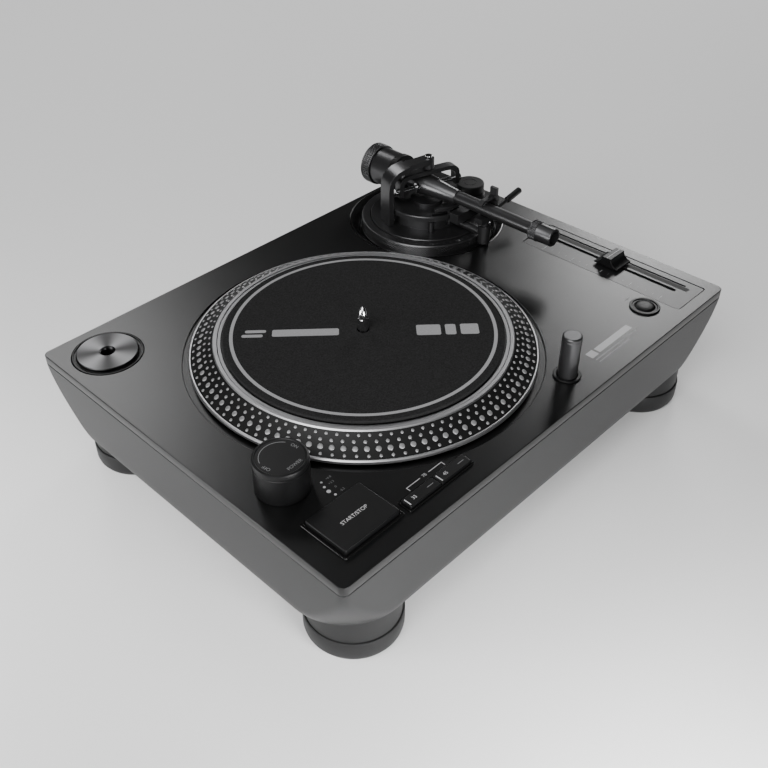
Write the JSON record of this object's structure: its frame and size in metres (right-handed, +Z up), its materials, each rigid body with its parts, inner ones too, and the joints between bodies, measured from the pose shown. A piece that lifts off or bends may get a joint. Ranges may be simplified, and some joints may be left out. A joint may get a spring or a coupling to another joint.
{
  "type": "turntable record player",
  "caption": "Direct-drive turntable for small records: squared deck on round feet, dotted platter with slipmat, straight tonearm, start, speed, reset and pitch controls.",
  "frame": {"origin": "on the floor under the middle of the whole object's plan, feet down", "axes": "+X to the player's right along the front edge, +Y to the back, +Z up, tonearm in its rest pointing to the front"},
  "size_m": [0.382, 0.2922, 0.1451],
  "materials": {
    "deck": "satin",
    "shell": "satin",
    "cover": "matte",
    "platter": "polished",
    "felt": "matte",
    "chrome": "polished",
    "cast": "matte",
    "winding": "satin",
    "magnet": "matte",
    "circuit": "satin",
    "gold": "polished",
    "steel": "satin",
    "brushed": "brushed",
    "gloss": "gloss",
    "plastic": "satin",
    "arm_metal": "satin",
    "fader_trim": "satin",
    "rubber": "matte"
  },
  "bodies": {
    "base": {"top_plate": "deck", "plinth": "shell", "base_cover": "cover", "motor_housing": "cast", "stator": "winding", "main_board": "circuit", "power_supply": "circuit", "rear_panel": "cover", "phono_socket_left": "gold", "phono_socket_right": "gold", "ground_terminal": "steel", "mains_inlet": "cover", "adaptor_ring": "gloss", "strobe_housing": "plastic", "start_stop_bezel": "gloss", "speed_bezel": "gloss", "target_light_ring": "gloss", "reset_ring": "gloss", "fader_plate": "fader_trim", "fader_body": "steel", "arm_well": "gloss"},
    "platter_body": {"platter": "platter", "spindle": "chrome", "rotor": "magnet"},
    "slipmat_body": {"slipmat": "felt"},
    "adaptor_body": {"adaptor_45": "brushed"},
    "power_body": {"power_knob": "plastic"},
    "start_body": {"start_stop_button": "plastic"},
    "speed_33_body": {"speed_button_33": "plastic"},
    "speed_45_body": {"speed_button_45": "plastic"},
    "lamp_body": {"target_light": "arm_metal"},
    "reset_body": {"reset_button": "plastic"},
    "fader_knob_body": {"fader_knob": "plastic"},
    "height_ring_body": {"height_ring": "arm_metal"},
    "arm_base_body": {"arm_base": "arm_metal", "pivot_bracket": "arm_metal", "pivot_screw_top": "chrome", "lift_housing": "arm_metal", "arm_rest": "arm_metal"},
    "gimbal_body": {"gimbal_yoke": "arm_metal", "pivot_screw_left": "chrome", "pivot_screw_right": "chrome"},
    "arm_body": {"arm_tube": "arm_metal"},
    "collar_body": {"headshell_collar": "arm_metal"},
    "counterweight_body": {"counterweight": "arm_metal"},
    "scale_ring_body": {"scale_ring": "arm_metal"},
    "skate_body": {"anti_skate_dial": "plastic"},
    "lift_bar_body": {"lift_bar": "arm_metal"},
    "cue_lever_body": {"cue_lever": "arm_metal"},
    "rest_clip_body": {"rest_clip": "arm_metal"},
    "foot_front_left": {"foot_cup_front_left": "rubber", "foot_stem_front_left": "rubber"},
    "foot_rear_left": {"foot_cup_rear_left": "rubber", "foot_stem_rear_left": "rubber"},
    "foot_front_right": {"foot_cup_front_right": "rubber", "foot_stem_front_right": "rubber"},
    "foot_rear_right": {"foot_cup_rear_right": "rubber", "foot_stem_rear_right": "rubber"}
  },
  "joints": [
    {"name": "platter_spin", "type": "hinge", "parent": "base", "child": "platter_body", "pos_m": [-0.0366, -0.0078, 0.0906], "axis": [0, 0, -1], "continuous": true},
    {"name": "slipmat_slip", "type": "hinge", "parent": "platter_body", "child": "slipmat_body", "pos_m": [-0.0366, -0.0078, 0.1026], "axis": [0, 0, -1], "continuous": true},
    {"name": "adaptor_lift", "type": "slide", "parent": "base", "child": "adaptor_body", "axis": [0, 0, 1], "range_m": [0, 0.012]},
    {"name": "power_turn", "type": "hinge", "parent": "base", "child": "power_body", "pos_m": [-0.1623, -0.0681, 0.1076], "axis": [0, 0, -1], "range_deg": [0, 45]},
    {"name": "start_stop_press", "type": "slide", "parent": "base", "child": "start_body", "axis": [0, 0, -1], "range_m": [0, 0.0014], "stiffness_N_per_m": 400, "springref_m": -0.0008},
    {"name": "speed_33_press", "type": "slide", "parent": "base", "child": "speed_33_body", "axis": [0, 0, -1], "range_m": [0, 0.0014], "stiffness_N_per_m": 300, "springref_m": -0.0008},
    {"name": "speed_45_press", "type": "slide", "parent": "base", "child": "speed_45_body", "axis": [0, 0, -1], "range_m": [0, 0.0014], "stiffness_N_per_m": 300, "springref_m": -0.0008},
    {"name": "lamp_press", "type": "slide", "parent": "base", "child": "lamp_body", "axis": [0, 0, -1], "range_m": [0, 0.027]},
    {"name": "reset_press", "type": "slide", "parent": "base", "child": "reset_body", "axis": [0, 0, -1], "range_m": [0, 0.0014], "stiffness_N_per_m": 300, "springref_m": -0.0008},
    {"name": "pitch_slide", "type": "slide", "parent": "base", "child": "fader_knob_body", "axis": [0, 1, 0], "range_m": [-0.05, 0.05]},
    {"name": "height_ring_turn", "type": "hinge", "parent": "base", "child": "height_ring_body", "pos_m": [0.12204, 0.07726, 0.0906], "axis": [0, 0, -1], "range_deg": [0, 300]},
    {"name": "arm_rise", "type": "slide", "parent": "base", "child": "arm_base_body", "axis": [0, 0, 1], "range_m": [0, 0.006]},
    {"name": "tonearm_yaw", "type": "hinge", "parent": "arm_base_body", "child": "gimbal_body", "pos_m": [0.12204, 0.07726, 0.1201], "axis": [0, 0, -1], "range_deg": [0, 50]},
    {"name": "tonearm_lift", "type": "hinge", "parent": "gimbal_body", "child": "arm_body", "pos_m": [0.12204, 0.07726, 0.1201], "axis": [-0.9511, 0.309, 0], "range_deg": [0, 8.5]},
    {"name": "collar_turn", "type": "hinge", "parent": "arm_body", "child": "collar_body", "pos_m": [0.12204, -0.03274, 0.1201], "axis": [0, 1, 0], "range_deg": [0, 90]},
    {"name": "counterweight_turn", "type": "hinge", "parent": "arm_body", "child": "counterweight_body", "pos_m": [0.12204, 0.12726, 0.1201], "axis": [0, 1, 0], "continuous": true},
    {"name": "scale_ring_turn", "type": "hinge", "parent": "counterweight_body", "child": "scale_ring_body", "pos_m": [0.12204, 0.11126, 0.1201], "axis": [0, 1, 0], "continuous": true},
    {"name": "anti_skate_turn", "type": "hinge", "parent": "arm_base_body", "child": "skate_body", "pos_m": [0.15634, 0.06226, 0.1106], "axis": [0, 0, -1], "range_deg": [0, 270]},
    {"name": "cue_lever_turn", "type": "hinge", "parent": "arm_base_body", "child": "cue_lever_body", "pos_m": [0.13803, 0.02566, 0.108], "axis": [0, 1, 0], "range_deg": [0, 28]},
    {"name": "lift_bar_fall", "type": "slide", "parent": "arm_base_body", "child": "lift_bar_body", "axis": [0, 0, -1], "range_m": [0, 0.005]},
    {"name": "rest_clip_open", "type": "hinge", "parent": "arm_base_body", "child": "rest_clip_body", "pos_m": [0.13093, 0.01876, 0.1276], "axis": [0, 1, 0], "range_deg": [0, 76.5]},
    {"name": "foot_height_front_left", "type": "slide", "parent": "base", "child": "foot_front_left", "axis": [0, 0, -1], "range_m": [0, 0.008]},
    {"name": "foot_height_rear_left", "type": "slide", "parent": "base", "child": "foot_rear_left", "axis": [0, 0, -1], "range_m": [0, 0.008]},
    {"name": "foot_height_front_right", "type": "slide", "parent": "base", "child": "foot_front_right", "axis": [0, 0, -1], "range_m": [0, 0.008]},
    {"name": "foot_height_rear_right", "type": "slide", "parent": "base", "child": "foot_rear_right", "axis": [0, 0, -1], "range_m": [0, 0.008]}
  ],
  "couplings": [
    {"joint": "arm_rise", "follows": "height_ring_turn", "m_per_rad": 0.0011459},
    {"joint": "lift_bar_fall", "follows": "cue_lever_turn", "m_per_rad": 0.010231},
    {"joint": "rest_clip_open", "follows": "tonearm_lift", "ratio": 9}
  ]
}
